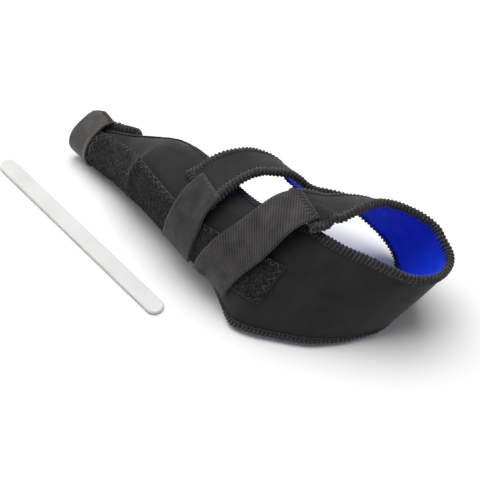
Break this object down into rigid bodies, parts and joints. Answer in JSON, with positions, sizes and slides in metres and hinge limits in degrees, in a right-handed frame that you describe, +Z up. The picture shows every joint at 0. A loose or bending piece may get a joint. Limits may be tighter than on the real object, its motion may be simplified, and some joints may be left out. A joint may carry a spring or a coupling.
{
  "type": "bunion corrector",
  "caption": "soft sleeve for a big toe and instep: neoprene wrap with tongues over the top, hook straps on a loop strip, and a flat splint bar beside it",
  "frame": {"origin": "middle of the underside, on the surface that the wrap and the splint bar lie on", "axes": "+X from the toe loop towards the heel, +Y from the inner side of the foot to the outer side, +Z up"},
  "size_m": [0.2254, 0.1198, 0.0612],
  "materials": {
    "neoprene": "matte black jersey",
    "pile": "fuzzy loops",
    "webbing": "woven",
    "plastic": "translucent white"
  },
  "bodies": {
    "root": {"neoprene_wrap": "neoprene", "pile_strip": "pile", "toe_strap": "webbing", "front_strap": "webbing", "rear_strap": "webbing", "splint_bar": "plastic"}
  },
  "joints": []
}
